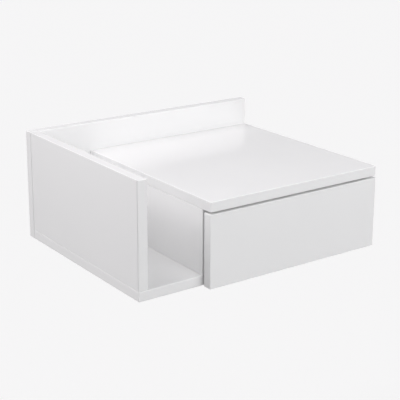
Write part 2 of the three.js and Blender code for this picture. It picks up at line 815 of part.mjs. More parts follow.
const fittings = new THREE.Group()
for (const [upright, x] of Object.entries(uprights)) {
  basePlaces(x).forEach((place, i) =>
    fittings.add(screw('base_screw_' + upright + '_' + endNames[i], longScrew, place)))
}
for (const [name, place] of Object.entries(backPlaces)) {
  fittings.add(screw('back_screw_' + name, longScrew, place))
}
for (const [name, places] of Object.entries({ divider: dividerCams, right: rightCams })) {
  places.forEach((place, i) => fittings.add(...camFittings(name + '_' + endNames[i], board, place)))
}
for (const side of sides) {
  fittings.add(...camFittings('drawer_' + side, drawerBoard, frontCams[side]))
  cabinetScrewPlaces(side).forEach((place, i) =>
    fittings.add(screw(side + '_cabinet_screw_' + stationNames[i], cabinetScrew, place)))
  drawerScrewPlaces(side).forEach((place, i) =>
    fittings.add(screw(side + '_drawer_screw_' + stationNames[i], panScrew, place)))
  hangerScrewPlaces(side).forEach((place, i) =>
    fittings.add(screw(side + '_hanger_screw_' + ['upper', 'lower'][i], hangerScrew, place)))
  fittings.add(screw('latch_screw_' + side, latchScrew, latchScrewPlaces[sides.indexOf(side)]))
}
nightstand.add(fittings)

export default nightstand
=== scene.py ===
# %% [markdown]
# # A wall-hung nightstand in white lacquer
# This lesson dresses a floating nightstand: an open niche on the left, one drawer without a handle
# on the right, and a back panel that stands up behind the top. The measured model is already there
# as a fixed frame, so every new piece is worked out from the frame's own boxes and only the surface
# is made finer: rounded edges, bored holes, rolled steel, threads and finishes.

# %% Load the fixed frame
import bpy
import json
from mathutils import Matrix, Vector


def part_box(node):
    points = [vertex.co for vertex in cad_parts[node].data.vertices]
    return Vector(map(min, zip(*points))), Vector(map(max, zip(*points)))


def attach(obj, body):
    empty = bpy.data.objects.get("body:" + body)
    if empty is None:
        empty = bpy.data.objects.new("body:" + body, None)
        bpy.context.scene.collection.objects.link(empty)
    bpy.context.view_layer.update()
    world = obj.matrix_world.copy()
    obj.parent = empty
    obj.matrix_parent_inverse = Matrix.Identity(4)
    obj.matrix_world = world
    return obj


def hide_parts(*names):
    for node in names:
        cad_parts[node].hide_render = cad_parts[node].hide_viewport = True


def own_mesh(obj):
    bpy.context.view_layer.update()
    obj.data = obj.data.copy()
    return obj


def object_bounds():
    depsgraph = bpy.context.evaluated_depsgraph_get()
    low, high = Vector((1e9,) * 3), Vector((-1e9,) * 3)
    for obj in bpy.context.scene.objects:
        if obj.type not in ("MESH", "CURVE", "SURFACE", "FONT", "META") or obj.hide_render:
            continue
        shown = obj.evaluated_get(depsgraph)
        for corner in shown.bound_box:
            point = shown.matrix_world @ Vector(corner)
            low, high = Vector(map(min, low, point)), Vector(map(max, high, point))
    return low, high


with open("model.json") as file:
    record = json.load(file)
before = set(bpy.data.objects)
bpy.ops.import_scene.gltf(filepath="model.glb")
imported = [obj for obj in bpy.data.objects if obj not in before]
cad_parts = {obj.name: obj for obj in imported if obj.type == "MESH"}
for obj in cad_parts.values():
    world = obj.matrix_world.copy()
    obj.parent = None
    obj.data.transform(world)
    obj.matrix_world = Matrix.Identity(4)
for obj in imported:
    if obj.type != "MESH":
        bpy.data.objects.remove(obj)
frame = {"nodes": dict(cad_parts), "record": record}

cad_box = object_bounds()

# %% [markdown]
# ## Units and look-ups
# Blender works in metres, while furniture is drawn in millimetres, so one factor turns one into the
# other. The record says which body carries a node and which finish it has. Looking the body up by
# name keeps later cells short, and no piece can end up on the wrong body.

# %% Units and look-ups
import json
import math

import bmesh
import bpy
from mathutils import Matrix, Vector

MM = 0.001
scene = bpy.context.scene
record = frame["record"]
bodies = record["behaviour"]["bodies"]
body_of_node = {node: body for body, nodes in bodies.items() for node in nodes}

RIGHT, LEFT = Vector((1, 0, 0)), Vector((-1, 0, 0))
TO_WALL, TO_ROOM = Vector((0, 1, 0)), Vector((0, -1, 0))
UP, DOWN = Vector((0, 0, 1)), Vector((0, 0, -1))


def in_mm(x, y, z):
    """A vector in metres from three sizes in millimetres."""
    return Vector((x, y, z)) * MM


# %% [markdown]
# ## Shader nodes
# Every finish is a small network: object coordinates feed a noise, and the noise moves colour,
# roughness and height by a little. One helper makes a node with its values and links, so each
# finish reads as a short recipe. Values that are the same all over go straight onto the shader's
# sockets.

# %% Helpers for shader nodes
def add_node(tree, kind, inputs=None, **settings):
    """Makes one shader node; an input is either a value or another node's output."""
    made = tree.nodes.new(kind)
    for name, value in settings.items():
        setattr(made, name, value)
    for name, value in (inputs or {}).items():
        if isinstance(value, bpy.types.NodeSocket):
            tree.links.new(value, made.inputs[name])
        else:
            made.inputs[name].default_value = value
    return made


def start_finish(name, **shader_values):
    """A material with one Principled shader; returns the material, its tree and the shader."""
    material = bpy.data.materials.new(name)
    material.use_nodes = True
    tree = material.node_tree
    shader = tree.nodes["Principled BSDF"]
    for socket, value in shader_values.items():
        shader.inputs[socket.replace("_", " ")].default_value = value
    return material, tree, shader


def noise(tree, scale, stretch=(1, 1, 1), detail=2.0):
    """Noise on object coordinates; scale is in features per metre, stretch makes streaks."""
    place = add_node(tree, "ShaderNodeTexCoord").outputs["Object"]
    mapped = add_node(tree, "ShaderNodeMapping", {"Vector": place, "Scale": stretch})
    inputs = {"Vector": mapped.outputs["Vector"], "Scale": scale, "Detail": detail}
    return add_node(tree, "ShaderNodeTexNoise", inputs).outputs["Fac"]


def vary_colour(tree, shader, factor, first, second):
    """The base colour drifts from the first colour to the second with the factor."""
    ramp = add_node(tree, "ShaderNodeValToRGB", {"Fac": factor})
    ramp.color_ramp.elements[0].position = 0.3
    ramp.color_ramp.elements[1].position = 0.7
    ramp.color_ramp.elements[0].color = (*first, 1)
    ramp.color_ramp.elements[1].color = (*second, 1)
    tree.links.new(ramp.outputs["Color"], shader.inputs["Base Color"])


def vary_roughness(tree, shader, factor, low, high):
    """Roughness runs from low to high as the factor runs over its middle range."""
    inputs = {"Value": factor, "From Min": 0.3, "From Max": 0.7, "To Min": low, "To Max": high}
    spread = add_node(tree, "ShaderNodeMapRange", inputs)
    tree.links.new(spread.outputs["Result"], shader.inputs["Roughness"])


def add_bump(tree, shader, height, depth, strength=1.0):
    """Bump of a real depth in metres from a height between 0 and 1."""
    inputs = {"Height": height, "Distance": depth, "Strength": strength}
    bump = add_node(tree, "ShaderNodeBump", inputs)
    tree.links.new(bump.outputs["Normal"], shader.inputs["Normal"])


print("shader helpers ready")

# %% [markdown]
# ## White satin lacquer
# The boards are fibreboard sprayed with white satin lacquer. The spray leaves a fine orange-peel
# ripple a couple of millimetres wide, and the sheen changes a little over a hand's width. A picture
# of a white surface could be stretched over the boards, but noise on object coordinates has the
# right size on every board and no seams at the corners.

# %% White satin lacquer
LACQUER_WHITE = (0.872, 0.872, 0.874)
LACQUER_DRIFT = (0.884, 0.883, 0.884)
lacquer, tree, shader = start_finish("white_satin_lacquer", Specular_IOR_Level=0.42, IOR=1.5)
vary_colour(tree, shader, noise(tree, 9, detail=3), LACQUER_WHITE, LACQUER_DRIFT)
vary_roughness(tree, shader, noise(tree, 14, detail=4), 0.17, 0.21)
add_bump(tree, shader, noise(tree, 420, detail=1), 0.004 * MM)
print("lacquer made")

# %% [markdown]
# ## Bare fibreboard
# Lacquer stops at the mouth of a drilled hole. Inside, the board shows its brown pressed fibre, and
# a hole that stays white looks painted on. The cutters therefore carry a second material, which the
# boolean hands to the faces that it makes.

# %% Bare fibreboard inside the holes
fibreboard, tree, shader = start_finish("bare_fibreboard", Roughness=0.9, Specular_IOR_Level=0.2)
vary_colour(tree, shader, noise(tree, 1600, (1, 1, 3), 4), (0.30, 0.20, 0.11), (0.44, 0.32, 0.19))
add_bump(tree, shader, noise(tree, 2200, (1, 1, 3), 3), 0.08 * MM)
print("fibreboard made")

# %% [markdown]
# ## Foil on the drawer box
# The drawer box is thinner board wrapped in white foil, a touch warmer and duller than the lacquer,
# with a fine pressed grain. The hardboard bottom has the same foil in a greyer white. One function
# makes both, because only colours, sheen and grain differ.

# %% Foil finishes
def foil(name, first, second, low, high, grain):
    """Pressed foil: short grain along the board, and a sheen that drifts."""
    material, tree, shader = start_finish(name, Specular_IOR_Level=0.4)
    vary_colour(tree, shader, noise(tree, 18, detail=3), first, second)
    vary_roughness(tree, shader, noise(tree, 60, detail=3), low, high)
    add_bump(tree, shader, noise(tree, grain, (1, 0.35, 1), 2), 0.012 * MM)
    return material


box_foil = foil("white_foil", (0.755, 0.752, 0.740), (0.775, 0.772, 0.762), 0.38, 0.48, 1500)
sheet_foil = foil("thin_sheet_foil", (0.700, 0.700, 0.690), (0.730, 0.728, 0.720), 0.45, 0.60, 1100)
print("foils made")

# %% [markdown]
# ## Plated steel and cast zinc
# Slides and hangers are cold-rolled strip with bright zinc: rolling leaves long faint streaks, and
# the plating clouds here and there. Screws are tumbled, so they have specks and no streaks. Balls
# are polished. Cam locks are cast and keep a dull, grainy skin. One function covers them all: the
# streaks come from stretching the noise along the length.

# %% Metal finishes
def metal(name, first, second, low, high, scale, stretch, relief):
    """Bare or plated metal whose colour, roughness and fine relief share one pattern."""
    material, tree, shader = start_finish(name, Metallic=1.0)
    pattern = noise(tree, scale, stretch, 3)
    clouds = noise(tree, 55, detail=3)
    vary_colour(tree, shader, clouds, first, second)
    vary_roughness(tree, shader, pattern, low, high)
    add_bump(tree, shader, pattern, relief)
    return material


streaks = (1, 0.02, 1)
strip_steel = metal("zinc_plated_strip", (0.55, 0.57, 0.60), (0.66, 0.67, 0.69), 0.24, 0.40,
                    2600, streaks, 0.004 * MM)
ball_steel = metal("polished_balls", (0.68, 0.69, 0.71), (0.74, 0.75, 0.76), 0.06, 0.12,
                   900, (1, 1, 1), 0.0005 * MM)
screw_steel = metal("zinc_plated_screws", (0.52, 0.53, 0.55), (0.62, 0.62, 0.62), 0.28, 0.42,
                    1800, (1, 1, 1), 0.004 * MM)
cast_zinc = metal("cast_zinc", (0.42, 0.43, 0.45), (0.52, 0.53, 0.55), 0.42, 0.62,
                  2400, (1, 1, 1), 0.02 * MM)
spring_wire = metal("spring_wire", (0.36, 0.37, 0.40), (0.46, 0.47, 0.49), 0.22, 0.34,
                    3000, (1, 1, 1), 0.002 * MM)
print("metals made")

# %% [markdown]
# ## Moulded plastic
# The push latch is a light grey moulding. The mould was spark-eroded, which leaves a fine even
# pimple over the whole part and takes the gloss off it.

# %% Moulded plastic
latch_plastic, tree, shader = start_finish("moulded_grey_plastic", Specular_IOR_Level=0.5)
vary_colour(tree, shader, noise(tree, 120, detail=2), (0.52, 0.53, 0.54), (0.56, 0.57, 0.58))
vary_roughness(tree, shader, noise(tree, 400, detail=2), 0.42, 0.55)
add_bump(tree, shader, noise(tree, 3800, detail=1), 0.02 * MM)
print("plastic made")

# %% [markdown]
# ## From a mesh to a piece
# A bmesh is a mesh in the making. When it is done it becomes an object at the origin that rides on
# a body and stands for a node of the frame. Smooth shading alone would bend the light over a whole
# board. Sharp edges are therefore marked by angle, and the Weighted Normal modifier lets the large
# face win, so only the rounding itself shades round.

# %% From a mesh to a piece
SHARP_ANGLE = math.radians(32)
CORNER_ANGLE = math.radians(60)


def add_object(name, data):
    """A new object in the scene."""
    made = bpy.data.objects.new(name, data)
    scene.collection.objects.link(made)
    return made


def object_from(name, bm, *materials):
    """An object whose mesh comes from a bmesh, which is used up."""
    mesh = bpy.data.meshes.new(name)
    bm.to_mesh(mesh)
    bm.free()
    for material in materials:
        mesh.materials.append(material)
    return add_object(name, mesh)


def finish_piece(name, bm, node, *materials):
    """A shaded object that rides on the body of a node."""
    piece = object_from(name, bm, *materials)
    piece.data.shade_smooth()
    piece.data.set_sharp_from_angle(angle=SHARP_ANGLE)
    weighted = piece.modifiers.new("flat faces stay flat", "WEIGHTED_NORMAL")
    weighted.mode = "FACE_AREA"
    weighted.keep_sharp = True
    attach(piece, body_of_node[node])
    return piece


def stand_in(node, bm, *materials):
    """The finished piece that is shown in place of one node of the frame."""
    piece = finish_piece(node + "_piece", bm, node, *materials)
    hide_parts(node)
    return piece


print("pieces get the ending _piece")

# %% [markdown]
# ## Blocks, turned shapes and booleans
# Three ways of shaping cover most of the furniture: a block between two corners, a profile spun
# about an axis, and the exact boolean, which copes with flat faces that meet. A hole could also be
# knitted by hand from inset faces, but the boolean is shorter and gives the same clean rim.
# Sizes go in as millimetres, except for the corners of a block, which are in metres.

# %% Helpers for shapes
def block(low, high):
    """A closed block between two corners."""
    bm = bmesh.new()
    bmesh.ops.create_cube(bm, size=1)
    bmesh.ops.scale(bm, vec=high - low, verts=bm.verts)
    bmesh.ops.translate(bm, vec=(low + high) / 2, verts=bm.verts)
    return bm


def round_edges(bm, edges, radius, segments):
    """Rounds the edges given to a radius."""
    bmesh.ops.bevel(bm, geom=edges, offset=radius * MM, offset_type="OFFSET", segments=segments,
                    profile=0.5, affect="EDGES", material=-1, clamp_overlap=True)


def sharp_edges(bm, angle=SHARP_ANGLE):
    """The edges where two faces meet at more than the angle."""
    bm.normal_update()
    return [edge for edge in bm.edges if edge.is_manifold and edge.calc_face_angle() > angle]


def edges_off(bm, outward):
    """The sharp edges, without those round the face that looks outward."""
    reach = max(vertex.co.dot(outward) for vertex in bm.verts)
    return [edge for edge in sharp_edges(bm)
            if any(vertex.co.dot(outward) < reach - MM for vertex in edge.verts)]


def soften(bm, radius, segments=2):
    """Rounds the square corners between flat faces."""
    round_edges(bm, sharp_edges(bm, CORNER_ANGLE), radius, segments)


def shift(bm, x=0.0, y=0.0, z=0.0):
    """Moves a shape by so many millimetres."""
    bmesh.ops.translate(bm, vec=(x * MM, y * MM, z * MM), verts=bm.verts)
    return bm


def close_up(bm):
    """Fills the open ends of a shape and turns its faces outward."""
    bmesh.ops.holes_fill(bm, edges=[edge for edge in bm.edges if edge.is_boundary])
    bmesh.ops.recalc_face_normals(bm, faces=bm.faces)


def vertices_of(items):
    """The vertices among the results of an operator."""
    return [item for item in items if isinstance(item, bmesh.types.BMVert)]


def turned(profile, steps=48):
    """Spins (radius, height) pairs about Z into a closed shape with flat ends."""
    bm = bmesh.new()
    points = [bm.verts.new((radius * MM, 0, height * MM)) for radius, height in profile]
    edges = [bm.edges.new(pair) for pair in zip(points, points[1:])]
    bmesh.ops.spin(bm, geom=points + edges, cent=(0, 0, 0), axis=UP, angle=math.tau,
                   steps=steps, use_merge=True)
    bmesh.ops.remove_doubles(bm, verts=bm.verts, dist=0.001 * MM)
    bmesh.ops.recalc_face_normals(bm, faces=bm.faces)
    hubs = [vertex for vertex in bm.verts if math.hypot(vertex.co.x, vertex.co.y) < 0.001 * MM]
    bmesh.ops.dissolve_verts(bm, verts=hubs)
    return bm


def rod(radius, low, high, steps=48):
    """A round rod along Z."""
    return turned([(0, low), (radius, low), (radius, high), (0, high)], steps)


def prism(segments, radius, depth):
    """An upright prism round the origin with one corner along Y."""
    bm = bmesh.new()
    bmesh.ops.create_cone(bm, cap_ends=True, segments=segments, radius1=radius * MM,
                          radius2=radius * MM, depth=depth * MM)
    return bm


def put(bm, place):
    """Moves a shape to its place; a place that mirrors also turns the faces round."""
    bmesh.ops.transform(bm, matrix=place, verts=bm.verts)
    if place.determinant() < 0:
        bmesh.ops.reverse_faces(bm, faces=bm.faces)
    return bm


def working_object(bm):
    """A short-lived object for a modifier; its second material slot is for drilled faces."""
    return object_from("working", bm, lacquer, fibreboard)


def evaluated(made):
    """The mesh with its modifiers applied, as a new bmesh."""
    shown = made.evaluated_get(bpy.context.evaluated_depsgraph_get())
    result = bmesh.new()
    result.from_mesh(shown.to_mesh())
    shown.to_mesh_clear()
    return result


def discard(used):
    """Removes a working object and its mesh."""
    mesh = used.data
    bpy.data.objects.remove(used)
    bpy.data.meshes.remove(mesh)


def combine(blank, tools, operation="DIFFERENCE", drilled=0):
    """Cuts the tools out of the blank, or joins them to it. All are closed shapes."""
    made = working_object(blank)
    tool_objects = []
    for tool in tools:
        for face in tool.faces:
            face.material_index = drilled
        tool_object = working_object(tool)
        step = made.modifiers.new("boolean", "BOOLEAN")
        step.operation = operation
        step.solver = "EXACT"
        step.object = tool_object
        tool_objects.append(tool_object)
    result = evaluated(made)
    for used in [made, *tool_objects]:
        discard(used)
    return result


print("shape helpers ready")

# %% [markdown]
# ## Places from the frame
# Screws, bolts and locks lie along an axis of their own. The node's box gives the middle, and the
# direction that the head looks in picks the end. The place below has its origin at that end and its
# own Z pointing out, so a screw is drawn once, head up at zero, and put wherever it belongs.

# %% Places from the frame
def facing(outward):
    """Turns Z to the outward direction, and Y up where that direction is level."""
    return outward.to_track_quat("Z", "Y").to_matrix().to_4x4()


def length_along(node, direction):
    """The length of the node's box in a direction, in millimetres."""
    low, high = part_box(node)
    return abs((high - low).dot(direction)) / MM


def end_place(node, outward):
    """Origin at the middle of the node's end on the outward side, with Z pointing outward."""
    low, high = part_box(node)
    reach = length_along(node, outward) / 2 * MM
    return Matrix.Translation((low + high) / 2 + outward * reach) @ facing(outward)


CLEARANCE = 0.3
OVERRUN = 2  # how far a cutter passes the face that it opens


def grown_box(node, x=CLEARANCE, y=CLEARANCE, z=CLEARANCE):
    """A block that is larger than the node's box by so much on each side."""
    low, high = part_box(node)
    return block(low - in_mm(x, y, z), high + in_mm(x, y, z))


# %% [markdown]
# ## Screws
# A wood screw has a head with a recess for the driver, a core, and a thread that runs out at both
# ends. The thread is the interesting part: a small triangle is spun about the axis while it climbs,
# which bmesh does when the spin is given a step along the axis. Its ends fade into the core as
# their vertices are pulled inward, and a union makes core and ridge one solid.

# %% Screw sizes
CARCASS_SCREW = {"head": 5.0, "cone": 3.0, "core": 2.55, "crest": 3.4, "pitch": 3.0, "tip": 3.0,
                 "plain": 7.0, "recess": ("hexagon", 2.3, 2.6)}
PLATE_SCREW = {"head": 3.6, "cone": 1.8, "core": 1.25, "crest": 1.9, "pitch": 1.5, "tip": 2.5,
               "plain": 1.5, "recess": ("cross", 1.9, 1.5)}
SLIDE_SCREW = {**PLATE_SCREW, "core": 1.35, "crest": 2.05}
PAN_SCREW = {**SLIDE_SCREW, "cone": 0.0, "pan": 2.0, "plain": 1.2}
LATCH_SCREW = {**PLATE_SCREW, "head": 3.0, "core": 1.05, "crest": 1.65, "cone": 0.0, "pan": 1.8,
               "plain": 4.0, "recess": ("cross", 1.6, 1.3)}
print("carcass screw thread:", 2 * CARCASS_SCREW["crest"], "mm across")


# %% A thread that fades out at both ends
THREAD_STEPS = 20  # steps in one turn of a thread
RIDGE_SHARE = 0.28  # half the ridge's foot against the pitch
ROOT_SHARE = 0.9  # radius of the ridge's foot against the core
BURIED = 0.12  # share of the ridge's height that is left at its ends, inside the core


def thread(core, crest, pitch, start, end):
    """A helical ridge between two heights, closed at both ends."""
    bm = bmesh.new()
    half = RIDGE_SHARE * pitch
    root = ROOT_SHARE * core
    corners = [(root, -half), (crest, 0), (root, half)]
    ring = [bm.verts.new((radius * MM, 0, (start + height) * MM)) for radius, height in corners]
    edges = [bm.edges.new((ring[i], ring[i - 1])) for i in range(len(ring))]
    turns = (end - start) / pitch
    steps = round(turns * THREAD_STEPS)
    bmesh.ops.spin(bm, geom=ring + edges, cent=(0, 0, 0), axis=UP, angle=turns * math.tau,
                   dvec=(0, 0, (end - start) * MM / steps), steps=steps)
    for vertex in bm.verts:
        radius = math.hypot(vertex.co.x, vertex.co.y)
        to_end = min(vertex.co.z / MM - start, end - vertex.co.z / MM)
        share = min(max(to_end / pitch, BURIED), 1)
        kept = root * MM + (radius - root * MM) * share
        vertex.co.xy *= kept / radius
    close_up(bm)
    return bm


# %% Recesses for the driver
BLADE_SHARE = 0.22  # half the thickness of a cross recess against its reach
TAPER = 0.45  # foot of a cross recess against its mouth


def recess_cutters(kind, size, depth):
    """Cutters for a hexagon or a cross recess whose mouth is at height zero."""
    mouth = 0.3
    if kind == "hexagon":
        return [shift(prism(6, size, depth + mouth), z=(mouth - depth) / 2)]
    cutters = []
    half_blade = BLADE_SHARE * size
    for x, y in ((size, half_blade), (half_blade, size)):
        bm = block(in_mm(-x, -y, -depth), in_mm(x, y, mouth))
        bottom = [vertex for vertex in bm.verts if vertex.co.z < 0]
        bmesh.ops.scale(bm, vec=(TAPER, TAPER, 1), verts=bottom)
        cutters.append(bm)
    return cutters


# %% Draw a whole screw, and the hole that it goes in
SCREW_STEPS = 32
SCREW_TIP = 0.25  # radius of a screw's blunt tip
RIM = 0.25  # height of the upright rim of a countersunk head
DOME = [(1, 1), (1, 0.55), (0.86, 0.2), (0.55, 0)]  # a pan head, in shares of radius and height
THREAD_START = 0.85  # how far up the cone of the tip the thread starts


def screw_profile(size, length, grow=0.0):
    """Core and head as (radius, height) pairs from the tip to the top of the head."""
    foot = -length - grow
    shank = (size["crest"] if grow else size["core"]) + grow
    tip = 0 if grow else size["tip"]
    profile = [(0, foot), (shank if grow else SCREW_TIP, foot), (shank, foot + tip)]
    head = size["head"] + grow
    if "pan" in size:
        seat = -size["pan"]
        dome = [(head * across, seat * down) for across, down in DOME]
        return profile + [(shank, seat), *dome, (0, 0)]
    return profile + [(shank, -size["cone"] - RIM - grow), (head, -RIM), (head, 0), (0, 0)]


def make_screw(node, outward, size):
    """A threaded screw whose head looks outward, in the place of the node."""
    length = length_along(node, outward)
    seat = size.get("pan", size["cone"])
    core = turned(screw_profile(size, length), SCREW_STEPS)
    ridge = thread(size["core"], size["crest"], size["pitch"],
                   THREAD_START * size["tip"] - length, -seat - size["plain"])
    solid = combine(combine(core, [ridge], "UNION"), recess_cutters(*size["recess"]))
    stand_in(node, put(solid, end_place(node, outward)), screw_steel)


def screw_hole(node, outward, size):
    """The hole for a screw: its outline grown by the clearance and open at the head."""
    profile = screw_profile(size, length_along(node, outward), CLEARANCE)
    if "pan" in size:
        shank = size["crest"] + CLEARANCE
        profile = [(0, profile[0][1]), (shank, profile[0][1]), (shank, OVERRUN), (0, OVERRUN)]
    else:
        profile[-2:] = [(size["head"] + CLEARANCE, OVERRUN), (0, OVERRUN)]
    return put(turned(profile, SCREW_STEPS), end_place(node, outward))


print("screws ready, with a", CARCASS_SCREW["recess"][0], "recess in the carcass screws")

# %% [markdown]
# ## Which screw goes where
# Each group of screws has its own size and direction: the carcass screws come up through the base
# and in from the back, the slide screws go into the walls of the bay, and the pan heads go into the
# drawer. One table says all of that, and both the screws and their holes use it.

# %% The groups of screws
def nodes_with(word):
    """The nodes whose names hold this word."""
    return sorted(node for node in frame["nodes"] if word in node)


SCREW_GROUPS = {
    "base_screw": (DOWN, CARCASS_SCREW), "back_screw": (TO_WALL, CARCASS_SCREW),
    "left_cabinet_screw": (RIGHT, SLIDE_SCREW), "right_cabinet_screw": (LEFT, SLIDE_SCREW),
    "left_drawer_screw": (LEFT, PAN_SCREW), "right_drawer_screw": (RIGHT, PAN_SCREW),
    "hanger_screw": (TO_WALL, PLATE_SCREW), "latch_screw": (UP, LATCH_SCREW),
}
screw_of_node = {node: group for word, group in SCREW_GROUPS.items() for node in nodes_with(word)}


def holes_for(*words):
    """The holes of all screws whose names hold one of these words, as cutters."""
    return [screw_hole(node, *screw_of_node[node]) for word in words for node in nodes_with(word)]


for node, (outward, size) in screw_of_node.items():
    make_screw(node, outward, size)
print(len(screw_of_node), "screws made")

# %% [markdown]
# ## Cam fittings
# A flat-pack joint that comes apart has two halves. A turned bolt stands in one board, with a
# groove behind its head. A cast drum lies in the other board, and a quarter turn of it grips the
# head. The drum shows a cross recess and an arrow that tells where its mouth is. Both are spun from
# a profile, and the bolt's outline, grown by the clearance, hollows the drum.

# %% Cam bolts
BOLT_LENGTH = 36.6
BOLT_COLLAR = 3.6
BOLT_CREST = 3.0
BOLT_PROFILE = [(0, 0), (2.4, 0), (3.0, -0.6), (3.0, -2.6), (2.4, -3.2), (1.6, -3.2), (1.6, -7.6),
                (2.75, -7.6), (2.75, -23.6), (BOLT_COLLAR, -23.6), (BOLT_COLLAR, -25.3),
                (2.3, -25.3), (2.3, -35.4), (1.4, -BOLT_LENGTH), (0, -BOLT_LENGTH)]
BOLT_THREAD = {"core": 2.3, "crest": BOLT_CREST, "pitch": 2.0, "start": -35.6, "end": -25.8}
# Of each fitting: where the bolt's head looks, and where the face of the drum looks.
CAM_FITTINGS = {"divider_front": (DOWN, RIGHT), "divider_rear": (DOWN, RIGHT),
                "drawer_right": (TO_WALL, RIGHT), "right_front": (DOWN, LEFT),
                "right_rear": (DOWN, LEFT), "drawer_left": (TO_WALL, LEFT)}

for name, (inward, _) in sorted(CAM_FITTINGS.items()):
    bolt = combine(turned(BOLT_PROFILE, steps=32), [thread(**BOLT_THREAD)], "UNION")
    node = name + "_cam_bolt"
    stand_in(node, put(bolt, end_place(node, inward)), screw_steel)
print(len(CAM_FITTINGS), "cam bolts made")


# %% Cam locks
DRUM_RADIUS = 7.5
DRUM_CROSS, DRUM_CROSS_DEPTH = 2.9, 2.6
ARROW_RADIUS, ARROW_DEPTH, ARROW_PLACE = 0.8, 0.4, 4.6
# What the bolt takes out of the drum: its head, its neck and its shaft, with clearance.
HOLLOW_PROFILE = [(0, 0.4), (3.4, 0.4), (3.4, -3.6), (2.0, -3.6), (2.0, -7.2), (3.1, -7.2),
                  (3.1, -12), (0, -12)]

for name, (inward, outward) in CAM_FITTINGS.items():
    node = name + "_cam_lock"
    length = length_along(node, outward)
    drum = turned([(0, 0), (6.9, 0), (DRUM_RADIUS, -0.4), (DRUM_RADIUS, -1.6), (7.2, -1.9),
                   (7.2, -length + 0.5), (6.7, -length), (0, -length)])
    place = end_place(node, outward)
    toward_bolt = place.to_3x3().inverted() @ -inward
    turn = Matrix.Rotation(math.atan2(-toward_bolt.x, toward_bolt.y), 4, "Z")
    arrow = shift(prism(3, ARROW_RADIUS, 2 * ARROW_DEPTH), y=ARROW_PLACE)
    marks = [*recess_cutters("cross", DRUM_CROSS, DRUM_CROSS_DEPTH), arrow]
    drum = put(combine(drum, [put(mark, turn) for mark in marks]), place)
    hollow = put(turned(HOLLOW_PROFILE, steps=30), end_place(name + "_cam_bolt", inward))
    stand_in(node, combine(drum, [hollow]), cast_zinc)
print(len(CAM_FITTINGS), "cam locks made")

# %% [markdown]
# ## Boards
# The carcass is fibreboard with its arrises rounded to a millimetre before spraying. The rounding
# draws the thin bright lines along the edges in the photograph, and the thin dark ones where two
# boards meet. A Bevel modifier would do the same, but the bevel has to be there before the holes
# are drilled.
# Edges that stand on another board stay nearly sharp, so that the joint shows only the rounding of
# the board below. The base is rounded more, which gives the bright line under the left side and the
# dark one along the very bottom.

# %% Boards and the holes in them
ARRIS = 1.0
BOX_ARRIS = 0.5
TIGHT_ARRIS = 0.3
BASE_ARRIS = 1.5
EDGE_SEGMENTS = 4
WIDE_BORE = (-27.6, -1.6)  # from past the bolt's collar to inside the drum's pocket
THREAD_MOUTH = -20  # outside the board that holds the thread


def board(node, radius=ARRIS, tight=None):
    """A board with rounded edges, which stay nearly sharp round the face on the tight side."""
    bm = block(*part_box(node))
    round_edges(bm, edges_off(bm, tight) if tight else bm.edges[:], radius, EDGE_SEGMENTS)
    if tight:
        soften(bm, TIGHT_ARRIS)
    return bm


def board_piece(node, blank, cutters, skin=lacquer):
    """The board that stands for a node; where a cutter opens it, the bare fibreboard shows."""
    return stand_in(node, combine(blank, cutters, drilled=1), skin, fibreboard)


def cam_cutters(*names):
    """For each fitting, the pocket of its drum and the long hole from the board's end to it."""
    cutters = []
    for name in names:
        inward, outward = CAM_FITTINGS[name]
        lock = name + "_cam_lock"
        depth = length_along(lock, outward) + CLEARANCE
        pocket = rod(DRUM_RADIUS + CLEARANCE, -depth, OVERRUN)
        shaft_hole = rod(BOLT_COLLAR + CLEARANCE, *WIDE_BORE, steps=36)
        cutters += [put(pocket, end_place(lock, outward)),
                    put(shaft_hole, end_place(name + "_cam_bolt", inward))]
    return cutters


def thread_bores(inward):
    """The blind holes that hold the threads of all bolts whose heads look this way."""
    return [put(rod(BOLT_CREST + CLEARANCE, -BOLT_LENGTH - CLEARANCE, THREAD_MOUTH),
                end_place(name + "_cam_bolt", inward))
            for name, (looks, _) in sorted(CAM_FITTINGS.items()) if looks == inward]


print("boards have", ARRIS, "mm arrises")

# %% [markdown]
# ## The carcass
# The base runs the full width. The left side stands on it and reaches up to the top of the back
# panel. The divider and the right side carry the top. Each board is a block from its own box,
# drilled by the fittings that pass through it.
# The photograph shows two thin dark lines down the left side: one where it meets the back panel,
# and one just behind its front edge, as the joint of a lipping has. Both are fine slots from
# outside.

# %% Base, sides and divider
board_piece("base_panel", board("base_panel", BASE_ARRIS),
            holes_for("base_screw", "back_screw_base", "latch_screw"))
side_low, side_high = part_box("left_side_panel")
SEAM_WIDTH, SEAM_DEPTH = 1.3, 10
LIPPING, JOINT_WIDTH, JOINT_DEPTH = 1.1, 0.7, 2
SLOT_PAST = 5  # how far the slots run past the board


def side_slot(front, rear, depth):
    """An upright slot in the left side's outer face between two places along its depth."""
    past = SLOT_PAST * MM
    low = Vector((side_low.x - past, front, side_low.z - past))
    return block(low, Vector((side_low.x + depth * MM, rear, side_high.z + past)))


rear_seam = side_slot(side_high.y - SEAM_WIDTH * MM, side_high.y + SLOT_PAST * MM, SEAM_DEPTH)
joint_front = side_low.y + LIPPING * MM
lipping_joint = side_slot(joint_front, joint_front + JOINT_WIDTH * MM, JOINT_DEPTH)
left_side = combine(board("left_side_panel", tight=DOWN), [rear_seam, lipping_joint])
board_piece("left_side_panel", left_side, holes_for("base_screw_left", "back_screw_side"))
for node, name, side in (("divider_panel", "divider", "left"),
                         ("right_side_panel", "right", "right")):
    board_piece(node, board(node, tight=DOWN), [
        *holes_for("base_screw_" + name, side + "_cabinet_screw"),
        *cam_cutters(name + "_front", name + "_rear")])
print("base, sides and divider made")

# %% [markdown]
# ## The top
# In the photograph the front corners of the top turn softly, without the bright line that the
# drawer front has, so they are rounded to two and a half millimetres. The order matters: the tall
# corner edges first, then the outline above and below. The rear edge stays nearly sharp, because
# the photograph shows hardly a line where the top meets the back panel.

